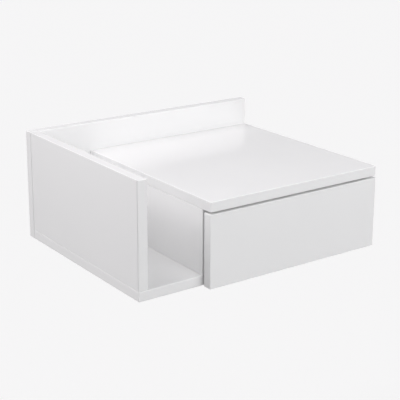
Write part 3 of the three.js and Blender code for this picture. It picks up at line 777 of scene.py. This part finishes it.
# %% Top panel
CORNER_RADIUS = 2.5
top = block(*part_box("top_panel"))
front_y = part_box("top_panel")[0].y
corners = [edge for edge in top.edges
           if all(abs(vertex.co.y - front_y) < MM for vertex in edge.verts)
           and abs(edge.verts[0].co.z - edge.verts[1].co.z) > MM]
round_edges(top, corners, CORNER_RADIUS, segments=6)
round_edges(top, edges_off(top, TO_WALL), ARRIS, EDGE_SEGMENTS)
soften(top, TIGHT_ARRIS)
board_piece("top_panel", top, [*thread_bores(DOWN), *holes_for("back_screw_top")])
print("top made with", len(corners), "soft corners")

# %% [markdown]
# ## Shapes with round ends
# Hanger plates, their recesses, the slots in the slides and the strike plate are flat shapes with
# two round ends. The shortest way to one is a cylinder cut in half in thought: the upper vertices
# move up and the lower ones down, and the faces between them stretch into straight sides.

# %% A flat shape with round ends
def oblong(width, height, low, high, segments=40):
    """A prism along Z from low to high, with its round ends up and down Y."""
    half_step = Matrix.Rotation(math.pi / segments, 4, "Z")
    bm = put(prism(segments, width / 2, high - low), half_step)
    for side in (1, -1):
        ends = [vertex for vertex in bm.verts if vertex.co.y * side > 0]
        bmesh.ops.translate(bm, vec=(0, side * (height - width) / 2 * MM, 0), verts=ends)
    return shift(bm, z=(low + high) / 2)


print("an oblong has", len(oblong(10, 30, 0, 2).faces), "faces")

# %% [markdown]
# ## Hangers and the back panel
# Everything hangs on two keyhole plates let into the back panel's wall face: the wall screw's head
# goes in through the round entry, and the plate then drops so that the slot grips the shank. Behind
# each plate the panel is routed out to make room for the head. The photograph shows none of this,
# so it follows what such furniture has.

# %% Hanger plates
STRIP_ARRIS = 0.25  # rounded edge of a stamped steel plate
HANGER = {"width": 20, "height": 60, "steel": 2, "entry": 5, "slot": 5, "entry_drop": 8,
          "slot_rise": 7, "pocket_width": 15, "pocket_height": 32, "pocket_depth": 9}
hangers = {node: end_place(node, TO_WALL) for node in ("left_hanger", "right_hanger")}

# Cutters that cross each other end at different heights, so that no two end faces meet.
THROUGH = 4
STAGGER = 0.5
for node, place in hangers.items():
    plate = oblong(HANGER["width"], HANGER["height"], -HANGER["steel"], 0, segments=64)
    soften(plate, STRIP_ARRIS, segments=3)
    entry = shift(rod(HANGER["entry"], -THROUGH, OVERRUN), y=-HANGER["entry_drop"])
    run = HANGER["entry_drop"] + HANGER["slot_rise"] + HANGER["slot"]
    slot = shift(oblong(HANGER["slot"], run, -THROUGH - STAGGER, OVERRUN + STAGGER),
                 y=(HANGER["slot_rise"] - HANGER["entry_drop"]) / 2)
    plate = put(combine(plate, [entry, slot]), place)
    stand_in(node, combine(plate, holes_for(node + "_screw")), strip_steel)
print("hangers made")

# %% Back panel
back_holes = holes_for("back_screw", "hanger_screw")
for place in hangers.values():
    depth = HANGER["steel"] + CLEARANCE
    margin = 2 * CLEARANCE
    recess = oblong(HANGER["width"] + margin, HANGER["height"] + margin, -depth, OVERRUN,
                    segments=64)
    pocket = oblong(HANGER["pocket_width"], HANGER["pocket_height"],
                    -depth - HANGER["pocket_depth"], OVERRUN - STAGGER, segments=48)
    back_holes += [put(recess, place), put(pocket, place)]
board_piece("back_panel", board("back_panel"), back_holes)
print("back panel made with", len(back_holes), "cuts")

# %% [markdown]
# ## The drawer
# The front is a lacquered board without a handle, which opens with a push. Behind it stands a box
# of thinner foiled board: the sides are grooved for the bottom and housed for the back. The grooves
# are cut by the very pieces that sit in them, grown by the clearance.

# %% Drawer front and box
SIDES = ("left", "right")
PAST = 20  # how far a groove runs past the end of the board that it is cut in
board_piece("drawer_front", board("drawer_front"),
            [grown_box("drawer_bottom"), *thread_bores(TO_WALL)])
for side in SIDES:
    cuts = [grown_box("drawer_bottom", y=PAST), grown_box("drawer_back", z=PAST),
            *cam_cutters("drawer_" + side), *holes_for(side + "_drawer_screw")]
    node = "drawer_" + side + "_side"
    board_piece(node, board(node, BOX_ARRIS), cuts, box_foil)

PIN_RADIUS = 1.5
PIN_INSET = 4.5  # from the upper end of the strike plate to its pin
PIN_HOLE_DEPTH = 9
strike_place = end_place("strike_plate", TO_WALL)
pin_rise = length_along("strike_plate", UP) / 2 - PIN_INSET
pin_hole = shift(rod(PIN_RADIUS + CLEARANCE, -PIN_HOLE_DEPTH, OVERRUN), y=pin_rise)
board_piece("drawer_back", board("drawer_back", BOX_ARRIS),
            [grown_box("drawer_bottom", x=PAST), put(pin_hole, strike_place)], box_foil)
stand_in("drawer_bottom", board("drawer_bottom", TIGHT_ARRIS), sheet_foil)
print("drawer made")

# %% [markdown]
# ## Ball-bearing slides
# This is the fitting that takes the most care. Each slide is three lengths of steel: a member on
# the wall of the bay, a member on the drawer, and between them a thin cage with two rows of balls.
# The outer member wraps over each row and the inner one curls under it, so that the balls hold the
# two together from above, below and the side.
# The section is drawn as a line down the middle of the strip: arcs are vertices spun about a
# centre, the lower half is the upper half mirrored, and the line is drawn out along the slide.
# Solidify gives it the thickness of the strip and keeps every bend parallel.

# %% Sizes of the slides
STEEL = 1.2
BEND = 2.5
BALL_RADIUS = 2.2
BALL_PLANE = 6.0
RACE_LINE = 3.05
BALL_HEIGHT = 13.85
SLIDE_DEPTH = 12.7
SLIDE_LENGTH = length_along("left_cabinet_member", TO_WALL)


def slide_place(side):
    """Origin on the bay's wall at the slide's front end, X away from the wall, Y to the rear."""
    low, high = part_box(side + "_cabinet_member")
    wall = low.x if side == "left" else high.x
    mirror = Matrix.Diagonal((1 if side == "left" else -1, 1, 1, 1))
    return Matrix.Translation(Vector((wall, low.y, (low.z + high.z) / 2))) @ mirror


print("slides are", round(SLIDE_LENGTH, 1), "mm long")


# %% A strip bent to a section
EDGE_SHARE = 0.18  # rounding of a strip's edges against its thickness


def arc(bm, centre, radius, start, end, steps):
    """A run of vertices on an arc about (x, z); angles in degrees from X towards Z."""
    angle = math.radians(start)
    middle = in_mm(centre[0], 0, centre[1])
    first = bm.verts.new(middle + in_mm(math.cos(angle), 0, math.sin(angle)) * radius)
    spun = bmesh.ops.spin(bm, geom=[first], cent=middle, axis=TO_ROOM,
                          angle=math.radians(end - start), steps=steps)
    return first, vertices_of(spun["geom_last"])[0]


def bent_strip(arcs, length, gauge, front=0.0):
    """A strip whose upper half follows these arcs, from the web to the lip, drawn out along Y."""
    bm = bmesh.new()
    ends = [arc(bm, *shape) for shape in arcs]
    for (_, before), (after, _) in zip(ends, ends[1:]):
        bm.edges.new((before, after))
    copied = bmesh.ops.duplicate(bm, geom=bm.verts[:] + bm.edges[:])
    bmesh.ops.scale(bm, vec=(1, 1, -1), verts=vertices_of(copied["geom"]))
    bm.edges.new((ends[0][0], copied["vert_map"][ends[0][0]]))
    shift(bm, y=front)
    drawn = bmesh.ops.extrude_edge_only(bm, edges=bm.edges[:])
    bmesh.ops.translate(bm, vec=(0, length * MM, 0), verts=vertices_of(drawn["geom"]))
    bmesh.ops.recalc_face_normals(bm, faces=bm.faces)
    made = working_object(bm)
    shell = made.modifiers.new("gauge", "SOLIDIFY")
    shell.thickness = gauge * MM
    shell.offset = 0
    shell.use_even_offset = True
    solid = evaluated(made)
    discard(made)
    bmesh.ops.recalc_face_normals(solid, faces=solid.faces)
    soften(solid, EDGE_SHARE * gauge)
    return solid


# %% The members of the slides
SLOT_INSET = 80
SLOT_WIDTH, SLOT_HEIGHT = 4.4, 9
TAB_ARRIS = 0.3
STOP_INSET = 2
STOP_WIDTH, STOP_HEIGHT = 10, 2.6


def web_slots(x):
    """Upright slots through a web whose inner face is at x."""
    return [shift(put(oblong(SLOT_WIDTH, SLOT_HEIGHT, -1, STEEL + 1), facing(RIGHT)), x, station)
            for station in (SLOT_INSET, SLIDE_LENGTH - SLOT_INSET)]


def stop_tab(station):
    """A tab folded up from the web that stops the cage at the end of its run."""
    low = in_mm(STEEL / 2, station, -STOP_WIDTH / 2)
    high = in_mm(STEEL + STOP_HEIGHT, station + STEEL, STOP_WIDTH / 2)
    bm = block(low, high)
    outer = [edge for edge in bm.edges if all(vertex.co.x > low.x + MM for vertex in edge.verts)]
    round_edges(bm, outer, TAB_ARRIS, segments=2)
    return bm


WRAP_END = -25  # angle at which the wall member's lip ends, past the middle of the ball
CURL_END = -150  # angle at which the drawer member's edge ends, under the ball
BALL_CENTRE = (BALL_PLANE, BALL_HEIGHT)
WALL_ARCS = [((STEEL / 2 + BEND, BALL_HEIGHT + RACE_LINE - BEND), BEND, 180, 90, 8),
             (BALL_CENTRE, RACE_LINE, 90, WRAP_END, 14)]
DRAWER_ARCS = [((SLIDE_DEPTH - STEEL / 2 - BEND, BALL_HEIGHT - RACE_LINE - BEND), BEND, 0, 90, 8),
               (BALL_CENTRE, RACE_LINE, -90, CURL_END, 8)]
for side in SIDES:
    tabs = [stop_tab(STOP_INSET), stop_tab(SLIDE_LENGTH - STOP_INSET - STEEL)]
    wall_member = combine(bent_strip(WALL_ARCS, SLIDE_LENGTH, STEEL), tabs, "UNION")
    drawer_member = bent_strip(DRAWER_ARCS, SLIDE_LENGTH, STEEL)
    for name, strip, inner_face in ((side + "_cabinet_", wall_member, 0),
                                    (side + "_drawer_", drawer_member, SLIDE_DEPTH - STEEL)):
        slotted = put(combine(strip, web_slots(inner_face)), slide_place(side))
        stand_in(name + "member", combine(slotted, holes_for(name + "screw")), strip_steel)
print("slide members made; the wall member's lip turns through", 90 - WRAP_END, "degrees")

# %% [markdown]
# ## Cages and balls
# The cage is thin strip with a notch for each ball in its two lips. It rolls half as far as the
# drawer, because a ball between two members moves at half the speed of the moving one. The balls
# are a piece in its own polished steel that rides with the cage.

# %% Cages and balls
CAGE_STEEL = 0.8
CAGE_BEND = 1.2
CAGE_WEB = 1.85
LIP_END = 7.2
BALLS_PER_ROW = 8
BALL_PITCH = 12.5
BALL_INSET = 6
BALL_STEPS = 24
NOTCH_RADIUS = BALL_RADIUS + 0.12
WINDOW_WIDTH, WINDOW_HEIGHT = 9, 22
WINDOW_CUT = (0.5, 3.5)  # the web lies between

for side in SIDES:
    node = side + "_ball_cage"
    place = slide_place(side)
    start = (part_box(node)[0].y - place.translation.y) / MM
    length = length_along(node, TO_WALL)
    cage = bent_strip([
        ((CAGE_WEB + CAGE_BEND, BALL_HEIGHT - CAGE_BEND), CAGE_BEND, 180, 90, 6),
        ((LIP_END, BALL_HEIGHT), 0, 90, 90, 1)], length, CAGE_STEEL, start)
    notches = []
    balls = bmesh.new()
    for i in range(BALLS_PER_ROW):
        station = start + BALL_INSET + i * BALL_PITCH
        notch = rod(NOTCH_RADIUS, -BALL_HEIGHT - 3, BALL_HEIGHT + 3, steps=32)
        notches.append(shift(notch, BALL_PLANE, station))
        for row in (-1, 1):
            centre = Matrix.Translation(in_mm(BALL_PLANE, station, row * BALL_HEIGHT))
            bmesh.ops.create_uvsphere(balls, u_segments=BALL_STEPS, v_segments=BALL_STEPS // 2,
                                      radius=BALL_RADIUS * MM, matrix=centre)
    for share in (0.25, 0.5, 0.75):
        window = oblong(WINDOW_WIDTH, WINDOW_HEIGHT, *WINDOW_CUT, segments=32)
        notches.append(shift(put(window, facing(RIGHT)), y=start + length * share))
    cage = combine(cage, notches)
    stand_in(node, put(cage, place), strip_steel)
    finish_piece(side + "_balls_piece", put(balls, place), node, ball_steel)
print(4 * BALLS_PER_ROW, "balls made")

# %% [markdown]
# ## Push latch
# Pressing the front and letting go springs it open. A moulded housing stands on the base behind the
# drawer, with a plunger that a spring holds out, and the strike plate on the drawer back meets it.
# The housing is a cylinder whose lower vertices move to two corners and merge there, which leaves a
# round top on a flat foot.

# %% Latch housing and plunger
LATCH = {"half": 8, "axis": 12, "length": 38, "floor": 4, "wing": 20, "wing_sheet": 3,
         "wing_length": 14, "plunger": 4, "tip": 5, "tip_length": 4}
housing_low, housing_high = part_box("latch_housing")
latch_origin = Vector(((housing_low.x + housing_high.x) / 2, housing_high.y,
                       housing_high.z - LATCH["half"] * MM))
latch_place = Matrix.Translation(latch_origin) @ facing(TO_ROOM)

housing = rod(LATCH["half"], 0, LATCH["length"], steps=64)
for vertex in housing.verts:
    if vertex.co.y < -0.01 * MM:
        vertex.co.x = math.copysign(LATCH["half"] * MM, vertex.co.x)
        vertex.co.y = -LATCH["axis"] * MM
bmesh.ops.remove_doubles(housing, verts=housing.verts, dist=0.01 * MM)
bmesh.ops.dissolve_degenerate(housing, edges=housing.edges, dist=0.01 * MM)
print("latch axis at", [round(value / MM, 1) for value in latch_origin])

# %% Finish the housing and the plunger
MOULD_ARRIS = 0.3
PLUNGER_PLAY = 0.25
MOUTH_CHAMFER = 1.6
WING_CORNER = 3
body = LATCH["plunger"]
bore_radius = body + PLUNGER_PLAY
mouth = LATCH["length"]
wing_start = (mouth - LATCH["wing_length"]) / 2
wings = block(in_mm(-LATCH["wing"], -LATCH["axis"], wing_start),
              in_mm(LATCH["wing"], LATCH["wing_sheet"] - LATCH["axis"], mouth - wing_start))
wing_corners = [edge for edge in wings.edges
                if abs(edge.verts[0].co.y - edge.verts[1].co.y) > MM]
round_edges(wings, wing_corners, WING_CORNER, segments=6)
housing = combine(housing, [wings], "UNION")
soften(housing, MOULD_ARRIS)
bore = rod(bore_radius, LATCH["floor"], mouth + OVERRUN, steps=40)
chamfer = turned([(0, mouth - 0.6), (bore_radius, mouth - 0.6),
                  (bore_radius + MOUTH_CHAMFER, mouth + 1), (0, mouth + 1)], steps=40)
housing = put(combine(combine(housing, [bore]), [chamfer]), latch_place)
stand_in("latch_housing", combine(housing, holes_for("latch_screw")), latch_plastic)

tip, tail = ((latch_origin.y - corner.y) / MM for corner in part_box("latch_plunger"))
neck = tip - LATCH["tip_length"]
rim = LATCH["tip"]
plunger = turned([(0, tail), (body - 0.4, tail), (body, tail + 0.4), (body, neck),
                  (rim - MOULD_ARRIS, neck), (rim, neck + MOULD_ARRIS), (rim, tip - 0.8),
                  (rim - 0.24, tip - 0.24), (rim - 0.8, tip), (1.3, tip), (1.1, tip - 0.3),
                  (0, tip - 0.3)])
stand_in("latch_plunger", put(plunger, latch_place), latch_plastic)
print("plunger reaches", round(tip - mouth, 1), "mm out of the housing")

# %% [markdown]
# ## The spring of the latch
# A compression spring is wound with its end coils closed, so that it stands straight. The wire's
# section is a small circle, spun three times: one turn of close coil, the open turns, and one close
# turn again.

# %% Spring
WIRE = 0.45
COIL = 2.9
TURNS = 6
CLOSE_PITCH = 1.1
COIL_STEPS = 24
WIRE_STEPS = 10
spring_low, spring_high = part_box("latch_spring")
coil_start = (latch_origin.y - spring_high.y) / MM + WIRE
coil_end = (latch_origin.y - spring_low.y) / MM - WIRE
open_pitch = (coil_end - coil_start - 2 * CLOSE_PITCH) / (TURNS - 2)

spring = bmesh.new()
turn = Matrix.Translation(in_mm(COIL, 0, coil_start)) @ Matrix.Rotation(math.pi / 2, 4, "X")
ring = bmesh.ops.create_circle(spring, segments=WIRE_STEPS, radius=WIRE * MM, matrix=turn)
edge_loop = ring["verts"] + spring.edges[:]
for turns, pitch in ((1, CLOSE_PITCH), (TURNS - 2, open_pitch), (1, CLOSE_PITCH)):
    spun = bmesh.ops.spin(spring, geom=edge_loop, cent=(0, 0, 0), axis=UP, angle=turns * math.tau,
                          dvec=(0, 0, pitch * MM / COIL_STEPS), steps=turns * COIL_STEPS)
    edge_loop = spun["geom_last"]
close_up(spring)
coil = stand_in("latch_spring", put(spring, latch_place), spring_wire)

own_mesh(coil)
print("open coils have a pitch of", round(open_pitch, 2), "mm")

# %% [markdown]
# ## Strike plate
# The plunger meets a small steel plate on the drawer back, so that the plastic doesn't wear the
# board. A pin through its upper end holds it.

# %% Strike plate
PIN_LENGTH = 7
PIN_CHAMFER = 0.3
strike_width, strike_depth, strike_height = (
    length_along("strike_plate", direction) for direction in (RIGHT, TO_WALL, UP))
strike_steel = strike_depth - PIN_LENGTH
plate = oblong(strike_width, strike_height, -strike_steel, 0, segments=48)
soften(plate, STRIP_ARRIS)
pin = turned([(0, -strike_depth), (PIN_RADIUS - PIN_CHAMFER, -strike_depth),
              (PIN_RADIUS, -strike_depth + PIN_CHAMFER), (PIN_RADIUS, -0.5 * strike_steel),
              (0, -0.5 * strike_steel)], steps=24)
strike = combine(plate, [shift(pin, y=pin_rise)], "UNION")
stand_in("strike_plate", put(strike, strike_place), strip_steel)
print("strike plate made")

# %% [markdown]
# ## Camera
# The photograph looks down on the front left corner from less than two metres away through a long
# lens, and its frame is a little lower than the line of sight, which a small shift gives. Place,
# angles and lens were worked out from the corners of the object, because a camera that is a degree
# off shows in every edge.

# %% Camera at the photograph's angle
YAW, PITCH, ROLL = (math.radians(angle) for angle in (35.48, 15.95, 0.21))
STAND = (-910.1, -1445.4, 492.5)  # where the camera stands, in millimetres
LENS, SENSOR, SHIFT = 97.08, 36, -0.1
camera = scene.camera = add_object("studio_camera", bpy.data.cameras.new("studio_camera"))
camera.data.sensor_width = SENSOR
camera.data.lens = LENS
camera.data.shift_y = SHIFT
camera.matrix_world = (Matrix.Translation(in_mm(*STAND))
                       @ Matrix.Rotation(-YAW, 4, "Z")
                       @ Matrix.Rotation(math.pi / 2 - PITCH, 4, "X")
                       @ Matrix.Rotation(ROLL, 4, "Z"))
print("camera stands", round(camera.location.length, 2), "m from the middle of the wall face")

# %% [markdown]
# ## Floor
# The nightstand hangs half a metre over a plain pale floor that runs past the horizon. The floor is
# a mid grey to the light that bounces off it, so that little comes back up under the boards, and a
# glow that only the eye and reflections see lifts it to the pale backdrop of the photograph. The
# object's shadow stays on it, because the glow is added to the lit floor and doesn't replace it.

# %% Floor
FLOOR_DROP = 0.5  # metres below the nightstand
FLOOR_GREY = 0.41
BACKDROP = 0.922  # what the eye sees
FLOOR_LIT = 0.262  # what the light gives of it
FLOOR_REACH = 60  # metres
floor_finish, tree, shader = start_finish("pale_floor", Roughness=1.0, Specular_IOR_Level=0.0)
shader.inputs["Base Color"].default_value = (FLOOR_GREY, FLOOR_GREY, FLOOR_GREY, 1)
shader.inputs["Emission Color"].default_value = (1, 1, 1, 1)
path = add_node(tree, "ShaderNodeLightPath").outputs
seen = path["Is Camera Ray"]
for ray in ("Is Glossy Ray", "Is Transmission Ray"):
    either = add_node(tree, "ShaderNodeMath", {0: seen, 1: path[ray]}, operation="MAXIMUM")
    seen = either.outputs["Value"]
glow = add_node(tree, "ShaderNodeMath", {0: seen, 1: BACKDROP - FLOOR_LIT}, operation="MULTIPLY")
tree.links.new(glow.outputs["Value"], shader.inputs["Emission Strength"])

floor_mesh = bmesh.new()
bmesh.ops.create_grid(floor_mesh, x_segments=1, y_segments=1, size=FLOOR_REACH)
floor_height = cad_box[0][2] - FLOOR_DROP
floor = object_from("studio_floor", shift(floor_mesh, z=floor_height / MM), floor_finish)
print("floor lies at", round(floor_height, 3), "m")

# %% [markdown]
# ## Light
# The studio's light is soft and comes mostly from the left and the front. The sky is pale at the
# horizon, where other views see it, and dim above. A wide far lamp stands in for a row of windows
# on the left, high and a little behind: from there it reaches over the left side deep into the
# niche, and leaves the front end of the divider the darkest board in the picture.
# The lamp boxes stand near, because every upright board in the photograph is a little brighter at
# its top than at its foot. So near, they would also throw pools of light on the floor, so light
# linking keeps them off it. The left light is a touch warmer than the sky, as the boards show. Two
# more boxes light the right side and the wall side, which the photograph doesn't see.

# %% Sky
HORIZON = (0.92, 0.92, 0.92)
HIGH_SKY = (0.265, 0.265, 0.276)
SKY = [(0, HORIZON), (12, HORIZON), (14, HIGH_SKY), (90, HIGH_SKY)]
world = bpy.data.worlds.new("studio_sky")
scene.world = world
world.use_nodes = True
tree = world.node_tree
direction = add_node(tree, "ShaderNodeTexCoord").outputs["Generated"]
height = add_node(tree, "ShaderNodeSeparateXYZ", {"Vector": direction}).outputs["Z"]
ramp = add_node(tree, "ShaderNodeValToRGB", {"Fac": height})
while len(ramp.color_ramp.elements) < len(SKY):
    ramp.color_ramp.elements.new(1.0)
for element, (elevation, colour) in zip(ramp.color_ramp.elements, SKY):
    element.position = math.sin(math.radians(elevation))
    element.color = (*colour, 1)
tree.links.new(ramp.outputs["Color"], tree.nodes["Background"].inputs["Color"])
print("sky has", len(SKY), "steps of height")

# %% Lamps
AIM = Vector((0, cad_box[0][1] / 2, 0))
WARM = (1, 0.975, 0.983)
NEUTRAL = (1, 1, 1)


def place_lamp(name, kind, azimuth, elevation, distance, colour):
    """A lamp aimed at the carcass; azimuth in degrees from the front towards the right."""
    lamp = add_object(name, bpy.data.lights.new(name, kind))
    lamp.data.color = colour
    tilt = Matrix.Rotation(math.radians(-elevation), 3, "X")
    toward = Matrix.Rotation(math.radians(azimuth), 3, "Z") @ tilt @ TO_ROOM
    lamp.location = AIM + toward * distance
    lamp.rotation_euler = toward.to_track_quat("Z", "Y").to_euler()
    return lamp


FAR_LAMP_SPREAD = math.radians(40)
FAR_LAMP_STRENGTH = 1.29
far_lamp = place_lamp("left_windows", "SUN", -120, 55, 4, WARM)
far_lamp.data.angle = FAR_LAMP_SPREAD
far_lamp.data.energy = FAR_LAMP_STRENGTH

not_the_floor = bpy.data.collections.new("not_the_floor")
not_the_floor.objects.link(floor)
not_the_floor.collection_objects[0].light_linking.link_state = "EXCLUDE"
# Of each box: azimuth, elevation, distance, size, strength and colour.
BOXES = {"left_box": (-91, 45, 0.9, 0.3, 0.255, WARM),
         "front_box": (0, 30, 2.0, 1.0, 0.343, NEUTRAL),
         "front_right_box": (20, 20, 2.0, 1.0, 0.166, NEUTRAL),
         "right_fill": (90, 0, 1.5, 1.0, 0.28, NEUTRAL),
         "wall_fill": (180, 0, 1.5, 1.0, 0.28, NEUTRAL)}
for name, (azimuth, elevation, distance, size, strength, colour) in BOXES.items():
    lamp_box = place_lamp(name, "AREA", azimuth, elevation, distance, colour)
    lamp_box.data.size = size
    # At strength 1, a white board that faces the box comes out white.
    lamp_box.data.energy = strength * math.pi ** 2 * distance ** 2
    lamp_box.light_linking.receiver_collection = not_the_floor
    lamp_box.visible_camera = False
    # The steel would throw a fill lamp back as a white glare.
    lamp_box.visible_glossy = not name.endswith("fill")
print("a far lamp and", len(BOXES), "lamp boxes set up")

# %% [markdown]
# ## View transform
# View Transform stays Standard, so that a colour comes out as it was written.

# %% View transform
scene.view_settings.view_transform = "Standard"
